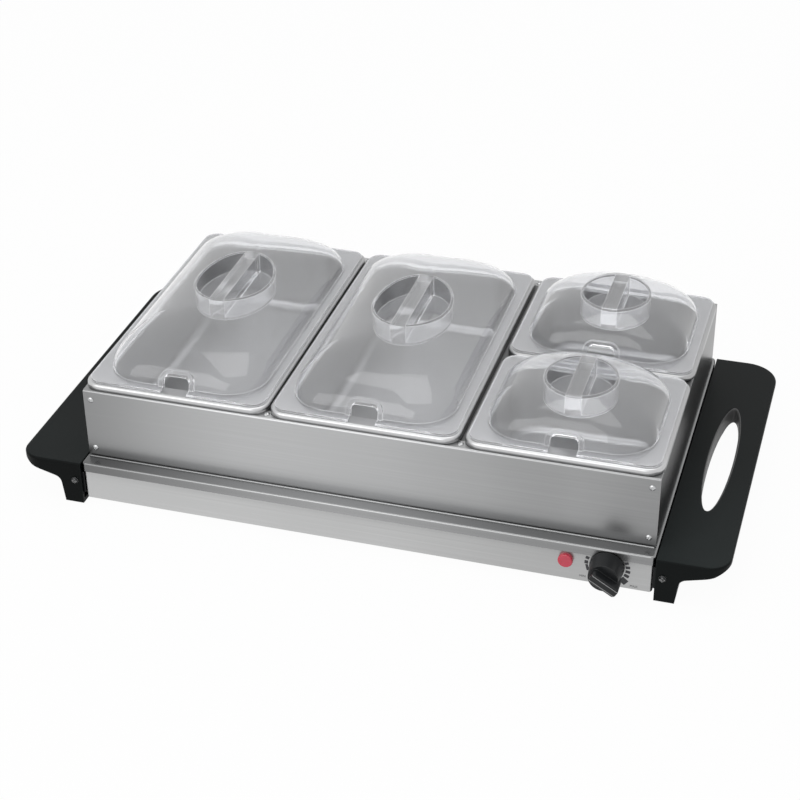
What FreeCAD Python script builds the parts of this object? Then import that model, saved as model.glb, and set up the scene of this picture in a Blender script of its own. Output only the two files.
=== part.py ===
import FreeCAD, Part
import Sketcher
import math
import os
import re
from FreeCAD import Placement, Rotation, Vector

# Buffet server: a heated tray on two end handles, a lift-off frame, four food pans and four clear lids.
# Millimetres, +Z up, front towards -Y. The table is at z = 0 and the origin is under the middle of the whole.

sizes = {
    # pans, which set the frame, and the frame sets the tray
    "pan_width": 175,
    "pan_depth": 312,
    "pan_height": 65,
    "pan_gauge": 0.8,
    "gap_left": 1.5,
    "gap_right": 3.5,
    "gap_cross": 2,
    "rim_rise": 6,
    "rim_width": 15.5,
    "rim_corner": 16,
    "rim_round": 2.8,
    "mouth_corner": 30,
    "well_draft": 4,
    "well_round": 9,
    # clear lids
    "lid_gauge": 2,
    "lid_inset": 3.5,
    "lid_foot": 12,
    "lid_corner": 12.5,
    "dome_corner": 38,
    "dome_spread": 12,
    "crown_share": 0.44,
    "large_rise": 38,
    "large_round": 66,
    "large_round_deep": 84,
    "large_well": 73,
    "large_well_stretch": 29,
    "large_well_back": 9,
    "small_rise": 36,
    "small_round": 60,
    "small_round_deep": 38,
    "small_well": 65,
    "small_well_stretch": 7,
    "well_sink": 20,
    "bar_width": 14,
    "notch_width": 25,
    "notch_rise": 12,
    "notch_border": 4.5,
    "notch_corner": 5,
    "notch_reach": 28,
    "bead_height": 2,
    # frame
    "frame_height": 70,
    "frame_gauge": 0.8,
    "pan_overhang": 1,
    "frame_margin": 2,
    "flange_width": 12,
    "bend_radius": 2,
    "divider_width": 22,
    "divider_height": 12,
    "divider_tab": 10,
    "divider_tab_width": 16,
    "divider_screw_inset": 7.2,
    "bracket_leg": 14,
    "bracket_wall": 1.2,
    "bracket_clear": 5,
    "frame_screw_inset": 7,
    "frame_screw_low": 9,
    "frame_screw_high": 9.5,
    # tray and base
    "tray_height": 45,
    "end_ledge": 2,
    "front_ledge": 15,
    "lip_drop": 9,
    "tray_corner": 4,
    "tray_gauge": 0.8,
    "lip_fit": 0.4,
    "rim_clear": 0.8,
    "base_lift": 6,
    # handles
    "handle_gap": 1,
    "handle_width": 62,
    "handle_wrap": 1.5,
    "handle_drop": 1,
    "grip_height": 18,
    "nose_height": 4,
    "nose_run": 12,
    "nose_rise": 6,
    "front_corner": 20,
    "rear_corner": 31,
    "handle_edge": 2,
    "hole_length": 174,
    "hole_width": 23,
    "hole_across": 30,
    "hole_forward": 3,
    "hole_edge": 1.5,
    "leg_width": 18,
    "leg_flare": 3,
    "leg_depth": 30,
    "leg_lift": 1,
    "leg_curve": 8,
    "cheek_wall": 2.5,
    "pocket_floor": 4,
    "pocket_roof": 6,
    "foot_diameter": 14,
    "foot_sink": 2,
    # end brackets and their screws
    "bracket_low": 12,
    "bracket_height": 22,
    "tab_gauge": 1.5,
    "tab_reach": 13,
    "handle_screw_across": 6.5,
    "handle_screw_height": 25.5,
    "bracket_screw_apart": 120,
    # tray posts, shield and insulation
    "service_depth": 33,
    "post_in": 106,
    "post_diameter": 10,
    "post_to_shield": 5,
    "spacer_diameter": 8,
    "spacer_inset": 30,
    "shield_height": 23.2,
    "shield_gauge": 0.8,
    "shield_end": 46,
    "pad_thickness": 6,
    "pad_margin": 5,
    # heating element
    "element_tube": 6.5,
    "element_pitch": 66.6,
    "element_span": 340,
    "element_tail": 35,
    "element_gap": 0.3,
    "clamp_length": 12,
    "clamp_width": 14,
    "clamp_apart": 240,
    "clamp_under": 2,
    # thermostat, knob and pilot light
    "control_inset": 41,
    "control_height": 27.5,
    "thermostat_width": 34,
    "thermostat_height": 30,
    "thermostat_to_shield": 3,
    "bush_diameter": 9,
    "bush_reach": 4.2,
    "nut_across": 13,
    "nut_thickness": 2.5,
    "shaft_diameter": 6,
    "shaft_depth": 13,
    "knob_reach": 28.2,
    "knob_gap": 0.7,
    "knob_diameter": 30.6,
    "knob_face_diameter": 26.4,
    "grip_rise": 9,
    "grip_width": 9.5,
    "grip_ahead": 16,
    "grip_behind": 11,
    "grip_end_round": 3,
    "grip_edge_round": 1.2,
    "knob_hollow": 21,
    "knob_hollow_depth": 6.5,
    "knob_cap": 3,
    "pointer_angle": 31.5,
    "lamp_apart": 36.3,
    "lamp_diameter": 13.4,
    "lamp_reach": 4,
    "lamp_round": 1.2,
    "lamp_stem": 8,
    "lamp_holder": 11,
    "lamp_depth": 19,
    # wiring
    "terminal_length": 32,
    "terminal_width": 16,
    "terminal_height": 15,
    "post_to_terminal": 11,
    "terminal_back": 17,
    "wire_diameter": 2.6,
    "wire_bend": 6,
    "live_wire_turn": 18,
    "element_wire_in": 9,
    "earth_wire_turn": 9,
    "fuse_diameter": 6,
    "fuse_length": 20,
    "fuse_past_element": 7,
    "clip_length": 8,
    "earth_in": 31,
    "earth_back": 33,
    # cable gland
    "gland_in": 31,
    "gland_height": 25,
    "gland_reach": 9.2,
    "gland_flange": 20,
    "gland_flange_thickness": 3,
    "gland_nose": 14,
    "gland_stem": 12,
    "gland_bore": 7.2,
    "gland_depth": 7,
    "gland_nut_across": 18,
    "gland_nut_thickness": 4,
    # screws and shared fits
    "screw_diameter": 4,
    "screw_head": 7,
    "screw_head_height": 2.4,
    "small_screw_diameter": 3,
    "small_screw_head": 5.6,
    "small_screw_head_height": 1.6,
    "head_dome": 1.3,
    "recess_share": 0.6,
    "recess_width": 0.9,
    "screw_length": 8,
    "small_screw_length": 5,
    "thread_fit": 0.1,
    "pass_fit": 0.4,
    "shaft_fit": 0.1,
    "joint_fit": 0.2,
    "seat_gap": 0.3,
}

doc = FreeCAD.newDocument("BuffetServer")
sheet = doc.addObject("Spreadsheet::Sheet", "Sizes")
for row, (alias, value) in enumerate(sizes.items(), start=1):
    sheet.set(f"A{row}", alias)
    sheet.set(f"B{row}", str(value))
    sheet.setAlias(f"B{row}", alias)
doc.recompute()

# Lengths that follow from the sheet, as expressions.
FRAME_LENGTH = "(3 * pan_width + gap_left + gap_right - 2 * pan_overhang)"
FRAME_WIDTH = "(pan_depth + 2 * frame_margin)"
FRAME_TOP = "(tray_height + frame_height)"
RIM_TOP = f"({FRAME_TOP} + rim_rise)"
SMALL_PAN_DEPTH = "((pan_depth - gap_cross) / 2)"
TRAY_LENGTH = f"({FRAME_LENGTH} + 2 * end_ledge)"
TRAY_WIDTH = f"({FRAME_WIDTH} + 2 * front_ledge)"
SKIRT_INSET = "(tray_gauge + lip_fit)"
SKIRT_LENGTH = f"({TRAY_LENGTH} - 2 * {SKIRT_INSET})"
SKIRT_WIDTH = f"({TRAY_WIDTH} - 2 * {SKIRT_INSET})"
SKIRT_FACE = f"({SKIRT_WIDTH} / 2)"
SKIRT_BACK = f"({SKIRT_FACE} - tray_gauge)"
TRAY_UNDERSIDE = "(tray_height - tray_gauge)"
FLOOR = "(base_lift + tray_gauge)"
HANDLE_FACE = f"({TRAY_LENGTH} / 2 + handle_gap)"
HANDLE_LENGTH = f"({TRAY_WIDTH} + 2 * handle_wrap)"
HANDLE_TOP = "(tray_height - handle_drop)"
SHIELD_EDGE = f"({TRAY_WIDTH} / 2 - service_depth)"
POST_X = f"({TRAY_LENGTH} / 2 - post_in)"
POST_Y = f"({SHIELD_EDGE} + post_to_shield + post_diameter / 2)"
KNOB_BACK = f"({SKIRT_INSET} + knob_gap)"
CONTROL_X = f"({TRAY_LENGTH} / 2 - control_inset)"
LAMP_X = f"({CONTROL_X} - lamp_apart)"
ELEMENT_HEIGHT = f"({TRAY_UNDERSIDE} - element_gap - element_tube / 2)"
GLAND_X = f"({TRAY_LENGTH} / 2 - gland_in)"
EARTH_X = f"({TRAY_LENGTH} / 2 - earth_in)"
EARTH_Y = f"({TRAY_WIDTH} / 2 - earth_back)"
BRACKET_MIDDLE = "(bracket_low + bracket_height / 2)"
LID_FOOT_LEVEL = f"({RIM_TOP} + seat_gap)"
LEFT_X = "(-pan_width - (gap_left + gap_right) / 2)"
MIDDLE_X = "((gap_left - gap_right) / 2)"
RIGHT_X = "(pan_width + (gap_left + gap_right) / 2)"
SMALL_PAN_Y = f"(({SMALL_PAN_DEPTH} + gap_cross) / 2)"
DIVIDER_LEFT = f"(({LEFT_X} + {MIDDLE_X}) / 2)"
DIVIDER_RIGHT = f"(({RIGHT_X} + {MIDDLE_X}) / 2)"
TO_MIDDLE = "((knob_reach - gland_reach) / 2)"  # puts the origin midway between the knob's face and the gland

UPRIGHT = Rotation()
TO_FRONT = Rotation(Vector(1, 0, 0), 90)
TO_REAR = Rotation(Vector(1, 0, 0), -90)
TO_RIGHT = Rotation(Vector(0, 1, 0), 90)
TO_LEFT = Rotation(Vector(0, 1, 0), -90)
DOWNWARD = Rotation(Vector(1, 0, 0), 180)

nodes = []
home = {}


def bound(text):
    """An expression in which every name of the sheet is addressed as a cell of it."""
    def addressed(word):
        return "Sizes." + word.group() if word.group() in sizes else word.group()
    return re.sub(r"[a-z_]+", addressed, str(text))


def bind(item, **properties):
    for name, text in properties.items():
        item.setExpression(name, bound(text))


def put(item, x=0, y=0, z=0, turn=UPRIGHT):
    """Sets an item's place by expressions, as seen from the middle of the tray."""
    item.Placement = Placement(Vector(), turn)
    home[item.Name] = y
    for axis, text in zip("xyz", (x, y, z)):
        item.setExpression(f".Placement.Base.{axis}", bound(text))
    return item


def node(label, item):
    """Makes an item a sub-part of its own, moved with all the others so that the origin is in the middle."""
    item.Label = label
    y = home.get(item.Name, 0)
    item.setExpression(".Placement.Base.y", bound(f"({y}) + {TO_MIDDLE}"))
    nodes.append(item)
    return item


def twin(label, item, normal=Vector(1, 0, 0)):
    """The mirrored copy of a sub-part that already stands in its place."""
    copy = mirror(item, normal)
    copy.Label = label
    if normal.y:
        copy.setExpression(".Placement.Base.y", bound(f"2 * {TO_MIDDLE}"))
    nodes.append(copy)


def box(length, width, height, x=0, y=0, z=0):
    """A box whose foot is centred on x, y and z."""
    item = doc.addObject("Part::Box", "Box")
    bind(item, Length=length, Width=width, Height=height)
    return put(item, f"({x}) - ({length}) / 2", f"({y}) - ({width}) / 2", z)


def cylinder(diameter, height, x=0, y=0, z=0, turn=UPRIGHT):
    item = doc.addObject("Part::Cylinder", "Cylinder")
    bind(item, Radius=f"({diameter}) / 2", Height=height)
    return put(item, x, y, z, turn)


def cone(diameter, end_diameter, height, x=0, y=0, z=0, turn=UPRIGHT):
    item = doc.addObject("Part::Cone", "Cone")
    bind(item, Radius1=f"({diameter}) / 2", Radius2=f"({end_diameter}) / 2", Height=height)
    return put(item, x, y, z, turn)


def hexagon(across, height, x=0, y=0, z=0, turn=UPRIGHT):
    item = doc.addObject("Part::Prism", "Hexagon")
    item.Polygon = 6
    bind(item, Circumradius=f"({across}) / {2 * math.cos(math.radians(30))}", Height=height)
    return put(item, x, y, z, turn)


def fuse(*items):
    item = doc.addObject("Part::MultiFuse", "Fuse")
    item.Shapes = items
    item.Refine = True
    return item


def cut(base, *tools):
    item = doc.addObject("Part::Cut", "Cut")
    item.Base = base
    item.Tool = tools[0] if len(tools) == 1 else fuse(*tools)
    return item


def common(first, second):
    item = doc.addObject("Part::MultiCommon", "Common")
    item.Shapes = [first, second]
    return item


def mirror(item, normal):
    copy = doc.addObject("Part::Mirroring", "Mirror")
    copy.Source = item
    copy.Normal = normal
    return copy


def group(*items):
    item = doc.addObject("Part::Compound", "Group")
    item.Links = items
    return item


def both_ends(item):
    return [item, mirror(item, Vector(1, 0, 0))]


def front_and_rear(item):
    return [item, mirror(item, Vector(0, 1, 0))]


def four_corners(item):
    return [copy for end in both_ends(item) for copy in front_and_rear(end)]


def new_body(name):
    return doc.addObject("PartDesign::Body", name)


def round_edges(body, base, radius, wanted):
    """Fillets those edges of a body's last feature that the test picks out."""
    doc.recompute()
    picked = [f"Edge{i}" for i, edge in enumerate(base.Shape.Edges, start=1) if wanted(edge.BoundBox)]
    fillet = body.newObject("PartDesign::Fillet", "Fillet")
    fillet.Base = (base, picked)
    bind(fillet, Radius=radius)
    return fillet


def is_upright(edge):
    return edge.XLength < 1e-6 and edge.YLength < 1e-6


def runs_along_y_at(edge, x):
    return edge.YLength > 1 and abs(edge.XMin - x) < 1e-4 and edge.XLength < 1e-4


def block(length, width, height, corner, edge=None, at_top=True, x=0, y=0, z=0):
    """A block with rounded upright corners and, if wanted, one rounded rim at its top or bottom."""
    body = new_body("Block")
    solid = body.newObject("PartDesign::AdditiveBox", "Solid")
    bind(solid, Length=length, Width=width, Height=height)
    rounded = round_edges(body, solid, corner, is_upright)
    if edge is not None:
        doc.recompute()
        level = rounded.Shape.BoundBox.ZMax if at_top else rounded.Shape.BoundBox.ZMin
        round_edges(body, rounded, edge, lambda e: abs(e.ZMin - level) < 1e-6 and abs(e.ZMax - level) < 1e-6)
    return put(body, f"({x}) - ({length}) / 2", f"({y}) - ({width}) / 2", z)


def oval(length, width, height, x, y, z=0):
    """An upright prism with an elliptical plan, longer along Y than it is wide."""
    body = new_body("Oval")
    sketch = new_sketch(body, "XY_Plane")
    sketch.addGeometry(Part.Ellipse(Vector(0, 40, 0), Vector(30, 0, 0), Vector(0, 0, 0)), False)
    sketch.exposeInternalGeometry(0)
    sketch.addConstraint(Sketcher.Constraint("Coincident", 0, 3, -1, 1))
    sketch.addConstraint(Sketcher.Constraint("Vertical", 1))
    measure(sketch, "length", length, "Distance", 1, 80)
    measure(sketch, "width", width, "Distance", 2, 60)
    pad = body.newObject("PartDesign::Pad", "Pad")
    pad.Profile = sketch
    bind(pad, Length=height)
    return put(body, x, y, z)


def plane_of(body, role):
    return next(feature for feature in body.Origin.OriginFeatures if feature.Role == role)


def new_sketch(body, role, height=0):
    sketch = body.newObject("Sketcher::SketchObject", "Sketch")
    sketch.AttachmentSupport = (plane_of(body, role), [""])
    sketch.MapMode = "FlatFace"
    sketch.setExpression(".AttachmentOffset.Base.z", bound(height))
    return sketch


def measure(sketch, name, text, *ends):
    """Adds a constraint that is bound to an expression."""
    index = sketch.addConstraint(Sketcher.Constraint(*ends))
    sketch.renameConstraint(index, name)
    sketch.setExpression(f"Constraints.{name}", bound(text))


def polygon_sketch(body, role, points):
    """A closed outline of straight lines through points given as pairs of expressions."""
    sketch = new_sketch(body, role)
    count = len(points)
    around = [Vector(math.cos(math.tau * i / count), math.sin(math.tau * i / count), 0) for i in range(count)]
    for i in range(count):
        sketch.addGeometry(Part.LineSegment(around[i], around[(i + 1) % count]), False)
    for i, (x, y) in enumerate(points):
        sketch.addConstraint(Sketcher.Constraint("Coincident", i, 2, (i + 1) % count, 1))
        measure(sketch, f"x{i}", x, "DistanceX", -1, 1, i, 1, around[i].x)
        measure(sketch, f"y{i}", y, "DistanceY", -1, 1, i, 1, around[i].y)
    return sketch


def rounded_sketch(body, length, width, corner, height):
    """A rectangle about the origin with four equal round corners, at a height above the XY plane."""
    sketch = new_sketch(body, "XY_Plane", height)
    half, radius = 60, 20
    signs = [(1, 1), (-1, 1), (-1, -1), (1, -1)]
    for i, (right, rear) in enumerate(signs):
        middle = Vector(right * (half - radius), rear * (half - radius), 0)
        circle = Part.Circle(middle, Vector(0, 0, 1), radius)
        arc = Part.ArcOfCircle(circle, math.radians(90 * i), math.radians(90 * i + 90))
        sketch.addGeometry(arc, False)
    for i in range(4):
        start = sketch.getPoint(i, 2)
        end = sketch.getPoint((i + 1) % 4, 1)
        sketch.addGeometry(Part.LineSegment(start, end), False)
    for i, (right, rear) in enumerate(signs):
        across, deep = f"{right} * (({length}) / 2 - ({corner}))", f"{rear} * (({width}) / 2 - ({corner}))"
        measure(sketch, f"x{i}", across, "DistanceX", -1, 1, i, 3, right * (half - radius))
        measure(sketch, f"y{i}", deep, "DistanceY", -1, 1, i, 3, rear * (half - radius))
        level, plumb = (1, 2) if i % 2 == 0 else (2, 1)
        sketch.addConstraint(Sketcher.Constraint("Horizontal", i, 3, i, level))
        sketch.addConstraint(Sketcher.Constraint("Vertical", i, 3, i, plumb))
        sketch.addConstraint(Sketcher.Constraint("Coincident", i + 4, 1, i, 2))
        sketch.addConstraint(Sketcher.Constraint("Coincident", i + 4, 2, (i + 1) % 4, 1))
        if i:
            sketch.addConstraint(Sketcher.Constraint("Equal", 0, i))
    measure(sketch, "corner", corner, "Radius", 0, radius)
    return sketch


def loft(sections, ruled, x, y):
    """A solid through rounded rectangles, each given as length, width, corner and height."""
    body = new_body("Loft")
    sketches = [rounded_sketch(body, *section) for section in sections]
    doc.recompute()
    solid = body.newObject("PartDesign::AdditiveLoft", "Through")
    solid.Profile = sketches[0]
    solid.Sections = sketches[1:]
    solid.Ruled = ruled
    return put(body, x, y), solid


def screw(x, y, z, turn, small=False, length=None):
    """A cross-head screw, the underside of its head on the given point and the head towards the turned +Z."""
    kind = "small_screw" if small else "screw"
    head_width, head_height = f"{kind}_head", f"{kind}_head_height"
    length = length or f"{kind}_length"
    domed = f"{head_width} * head_dome"
    head = common(cylinder(head_width, head_height), ball(domed, f"{head_height} - {domed} / 2"))
    shank = cylinder(f"{kind}_diameter", length, z=f"-({length})")
    arms = [box(f"{head_width} * recess_share", "recess_width", head_height, z=f"{head_height} / 2"),
            box("recess_width", f"{head_width} * recess_share", head_height, z=f"{head_height} / 2")]
    return put(cut(fuse(head, shank), *arms), x, y, z, turn)


def ball(diameter, z):
    item = doc.addObject("Part::Sphere", "Ball")
    bind(item, Radius=f"({diameter}) / 2")
    return put(item, z=z)


def flanged_strip(length, depth, height):
    """A sheet bent at its top: an upright wall along X facing -Y, with a flange that points inwards."""
    body = new_body("Strip")
    wall = "frame_gauge"
    outline = polygon_sketch(body, "YZ_Plane", [
        ("0", "0"),
        (wall, "0"),
        (wall, f"({height}) - {wall}"),
        (depth, f"({height}) - {wall}"),
        (depth, height),
        ("0", height),
    ])
    pad = body.newObject("PartDesign::Pad", "Pad")
    pad.Profile = outline
    pad.Midplane = True
    bind(pad, Length=length)
    doc.recompute()
    top = pad.Shape.BoundBox.ZMax
    gauge = sizes["frame_gauge"]
    level = 1e-4
    outer = round_edges(body, pad, "bend_radius", lambda edge: edge.XLength > 1 and
                        edge.YMax < level and edge.ZMin > top - level)
    round_edges(body, outer, f"bend_radius - {wall}", lambda edge: edge.XLength > 1 and
                abs(edge.YMin - gauge) < level and edge.YLength < level and
                abs(edge.ZMin - top + gauge) < level and edge.ZLength < level)
    return body


# Tray and base

def make_tray_top():
    foot = "tray_height - lip_drop"
    outer = block(TRAY_LENGTH, TRAY_WIDTH, "lip_drop", "tray_corner", "bend_radius", z=foot)
    inner = block(f"{TRAY_LENGTH} - 2 * tray_gauge", f"{TRAY_WIDTH} - 2 * tray_gauge",
                  "lip_drop - tray_gauge", "tray_corner - tray_gauge", "bend_radius - tray_gauge", z=foot)
    node("tray_top", cut(outer, inner))


def make_base_pan():
    height = f"{TRAY_UNDERSIDE} - rim_clear - base_lift"
    corner = f"tray_corner - {SKIRT_INSET}"
    outer = block(SKIRT_LENGTH, SKIRT_WIDTH, height, corner, "bend_radius", False, z="base_lift")
    inner = block(f"{SKIRT_LENGTH} - 2 * tray_gauge", f"{SKIRT_WIDTH} - 2 * tray_gauge",
                  f"{height} - tray_gauge", f"{corner} - tray_gauge", "bend_radius - tray_gauge", False,
                  z=FLOOR)
    through = "4 * tray_gauge"
    front, back = f"-{SKIRT_FACE} + 2 * tray_gauge", f"{SKIRT_FACE} - 2 * tray_gauge"
    holes = [
        cylinder("bush_diameter + pass_fit", through, CONTROL_X, front, "control_height", TO_FRONT),
        cylinder("lamp_stem + pass_fit", through, LAMP_X, front, "control_height", TO_FRONT),
        cylinder("gland_stem + pass_fit", through, GLAND_X, back, "gland_height", TO_REAR),
        cylinder("small_screw_diameter + thread_fit", through, EARTH_X, EARTH_Y, "base_lift - tray_gauge"),
    ]
    floor_hole = cylinder("screw_diameter + pass_fit", through, POST_X, POST_Y, "base_lift - tray_gauge")
    side_hole = cylinder("screw_diameter + pass_fit", through, f"{SKIRT_LENGTH} / 2 - 2 * tray_gauge",
                         "bracket_screw_apart / 2", BRACKET_MIDDLE, TO_RIGHT)
    node("base_pan", cut(cut(outer, inner), *holes, *four_corners(floor_hole), *four_corners(side_hole)))


# Handles, end brackets and feet

def handle_profile():
    """The handle seen from the front, drawn out from front to rear: leg, grip and upturned nose."""
    body = new_body("Profile")
    nose_low = f"{HANDLE_TOP} - nose_height"
    outline = polygon_sketch(body, "XZ_Plane", [
        ("0", HANDLE_TOP),
        ("0", "leg_lift"),
        ("leg_width", "leg_lift"),
        ("leg_width + leg_flare", f"{HANDLE_TOP} - grip_height"),
        ("handle_width - nose_run", f"{nose_low} - nose_rise"),
        ("handle_width", nose_low),
        ("handle_width", HANDLE_TOP),
    ])
    pad = body.newObject("PartDesign::Pad", "Pad")
    pad.Profile = outline
    pad.Midplane = True
    bind(pad, Length=HANDLE_LENGTH)
    doc.recompute()
    bend = sizes["leg_width"] + sizes["leg_flare"]
    knee = sizes["handle_width"] - sizes["nose_run"]
    curved = round_edges(body, pad, "leg_curve", lambda edge: runs_along_y_at(edge, bend))
    round_edges(body, curved, "leg_curve", lambda edge: runs_along_y_at(edge, knee))
    return put(body)


def handle_plan():
    """The handle's outline from above: square against the tray, round outside, more so at the rear."""
    body = new_body("Plan")
    solid = body.newObject("PartDesign::AdditiveBox", "Solid")
    bind(solid, Length="handle_width", Width=HANDLE_LENGTH, Height=HANDLE_TOP)
    doc.recompute()
    front = round_edges(body, solid, "front_corner",
                        lambda edge: is_upright(edge) and edge.XMin > 1 > edge.YMin)
    rear = round_edges(body, front, "rear_corner", lambda edge: is_upright(edge) and edge.XMin > 1 and
                       edge.YMin > sizes["front_corner"] + 1)
    doc.recompute()
    top = rear.Shape.BoundBox.ZMax
    round_edges(body, rear, "handle_edge", lambda edge: abs(edge.ZMin - top) < 1e-4 and edge.XMax > 1)
    return put(body, y=f"-{HANDLE_LENGTH} / 2")


def make_handles():
    leg_y = f"({HANDLE_LENGTH} / 2 - leg_depth / 2)"
    solid = common(handle_profile(), handle_plan())
    hand_hole = oval("hole_length", "hole_width", "2 * tray_height", "hole_across", "-hole_forward")
    between = box("2 * handle_width", f"{HANDLE_LENGTH} - 2 * leg_depth", f"{HANDLE_TOP} - grip_height")
    pocket = box("2 * (leg_width - cheek_wall)", "leg_depth - 2 * cheek_wall",
                 f"{HANDLE_TOP} - leg_lift - pocket_floor - pocket_roof", 0, leg_y, "leg_lift + pocket_floor")
    foot = cylinder("foot_diameter + pass_fit", "leg_lift + foot_sink", "leg_width / 2", leg_y)
    hole = cylinder("screw_diameter + pass_fit", "2 * cheek_wall", "handle_screw_across",
                    f"{HANDLE_LENGTH} / 2 - 1.5 * cheek_wall", "handle_screw_height", TO_REAR)
    pierced = [copy for tool in (pocket, foot, hole) for copy in front_and_rear(tool)]
    shaped = cut(solid, hand_hole, between, *pierced)
    doc.recompute()
    right = doc.addObject("Part::Fillet", "HoleEdge")
    right.Base = shaped
    top, radius = sizes["tray_height"] - sizes["handle_drop"], sizes["hole_edge"]
    right.Edges = [(i, radius, radius) for i, edge in enumerate(shaped.Shape.Edges, start=1)
                   if abs(edge.BoundBox.ZMin - top) < 1e-4 and edge.Closed]
    put(right, HANDLE_FACE)
    node("handle_right", right)
    twin("handle_left", right)
    pad = cylinder("foot_diameter", "leg_lift + foot_sink", f"{HANDLE_FACE} + leg_width / 2", leg_y)
    node("rubber_feet", group(*four_corners(pad)))


def make_end_brackets():
    skirt_end = f"({SKIRT_LENGTH} / 2)"
    inside = f"({HANDLE_LENGTH} / 2 - cheek_wall)"
    plate = box(f"{HANDLE_FACE} - {skirt_end}", f"2 * {inside}", "bracket_height",
                f"({HANDLE_FACE} + {skirt_end}) / 2", 0, "bracket_low")
    tab = box("tab_reach", "tab_gauge", "bracket_height", f"{HANDLE_FACE} + tab_reach / 2",
              f"{inside} - tab_gauge / 2", "bracket_low")
    side_hole = cylinder("screw_diameter + thread_fit", "tab_reach", f"{skirt_end} - tab_gauge",
                         "bracket_screw_apart / 2", BRACKET_MIDDLE, TO_RIGHT)
    tab_x = f"{HANDLE_FACE} + handle_screw_across"
    tab_hole = cylinder("screw_diameter + thread_fit", "3 * tab_gauge", tab_x, f"{inside} - 2 * tab_gauge",
                        "handle_screw_height", TO_REAR)
    solid = cut(fuse(plate, *front_and_rear(tab)), *front_and_rear(side_hole), *front_and_rear(tab_hole))
    node("end_bracket_right", solid)
    twin("end_bracket_left", solid)
    through_both = f"({HANDLE_FACE} - {skirt_end} + tray_gauge)"
    inner_screw = screw(f"{skirt_end} - tray_gauge", "bracket_screw_apart / 2", BRACKET_MIDDLE, TO_LEFT,
                        length=through_both)
    node("bracket_screws", group(*four_corners(inner_screw)))
    outer_screw = screw(tab_x, f"{HANDLE_LENGTH} / 2", "handle_screw_height", TO_REAR)
    node("handle_screws", group(*four_corners(outer_screw)))


# Posts, heat shield and heating element

def make_posts_and_shield():
    post = cut(cylinder("post_diameter", f"{TRAY_UNDERSIDE} - {FLOOR}", POST_X, POST_Y, FLOOR),
               cylinder("screw_diameter + thread_fit", "screw_length + tray_gauge", POST_X, POST_Y,
                        "base_lift"))
    node("tray_posts", group(*four_corners(post)))
    node("bottom_screws", group(*four_corners(screw(POST_X, POST_Y, "base_lift", DOWNWARD))))
    length = f"({TRAY_LENGTH} - 2 * shield_end)"
    width = f"(2 * {SHIELD_EDGE})"
    spacer = cylinder("spacer_diameter", f"shield_height - {FLOOR}", f"{length} / 2 - spacer_inset",
                      f"{width} / 2 - spacer_inset", FLOOR)
    node("shield_spacers", group(*four_corners(spacer)))
    node("heat_shield", block(length, width, "shield_gauge", "tray_corner", z="shield_height"))
    node("insulation_pad", block(f"{length} - 2 * pad_margin", f"{width} - 2 * pad_margin", "pad_thickness",
                                 "tray_corner", z="shield_height + shield_gauge"))


def rod_bend(x, y, turn):
    item = doc.addObject("Part::Torus", "Bend")
    item.Angle3 = 180
    bind(item, Radius1="element_pitch / 2", Radius2="element_tube / 2")
    return put(item, x, y, ELEMENT_HEIGHT, Rotation(Vector(0, 0, 1), turn))


def make_heating_element():
    """A rod bent to and fro under the tray: four runs, three bends, and both cold ends at the right."""
    half, outer_y, inner_y = "element_span / 2", "1.5 * element_pitch", "0.5 * element_pitch"
    outer_run = cylinder("element_tube", "element_span + element_tail", f"-{half}", outer_y, ELEMENT_HEIGHT,
                         TO_RIGHT)
    inner_run = cylinder("element_tube", "element_span", f"-{half}", inner_y, ELEMENT_HEIGHT, TO_RIGHT)
    bends = [rod_bend(f"-{half}", "element_pitch", 90), rod_bend(f"-{half}", "-element_pitch", 90),
             rod_bend(half, 0, -90)]
    node("heating_element", fuse(*front_and_rear(outer_run), *front_and_rear(inner_run), *bends))
    clamps = []
    for x, y in [("clamp_apart / 2", outer_y), ("-clamp_apart / 2", outer_y), ("0", inner_y)]:
        low = f"{ELEMENT_HEIGHT} - element_tube / 2 - clamp_under"
        solid = cut(box("clamp_length", "clamp_width", f"{TRAY_UNDERSIDE} - ({low})", x, y, low),
                    cylinder("element_tube + joint_fit", "2 * clamp_length", f"{x} - clamp_length", y,
                             ELEMENT_HEIGHT, TO_RIGHT))
        clamps += front_and_rear(solid)
    node("element_clamps", group(*clamps))


# Thermostat, knob and pilot light

def make_thermostat():
    depth = f"({SKIRT_BACK} - {SHIELD_EDGE} - thermostat_to_shield)"
    housing = box("thermostat_width", depth, "thermostat_height", CONTROL_X, f"-{SKIRT_BACK} + {depth} / 2",
                  "control_height - thermostat_height / 2")
    bush = cylinder("bush_diameter", f"{SKIRT_FACE} + bush_reach - ({SKIRT_BACK} - {depth} / 2)", CONTROL_X,
                    f"-{SKIRT_BACK} + {depth} / 2", "control_height", TO_FRONT)
    bore = cylinder("shaft_diameter + shaft_fit", "2 * shaft_depth + bush_reach", CONTROL_X,
                    f"-{SKIRT_FACE} + shaft_depth", "control_height", TO_FRONT)
    node("thermostat_body", cut(fuse(housing, bush), bore))
    nut = hexagon("nut_across", "nut_thickness", CONTROL_X, f"-{SKIRT_FACE}", "control_height", TO_FRONT)
    thread = cylinder("bush_diameter + thread_fit", "3 * nut_thickness", CONTROL_X,
                      f"-{SKIRT_FACE} + nut_thickness", "control_height", TO_FRONT)
    node("thermostat_nut", cut(nut, thread))
    node("thermostat_shaft", cylinder(
        "shaft_diameter", "shaft_depth + knob_reach - knob_cap - 2 * joint_fit", CONTROL_X,
        f"-{SKIRT_FACE} + shaft_depth - joint_fit", "control_height", TO_FRONT))


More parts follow.
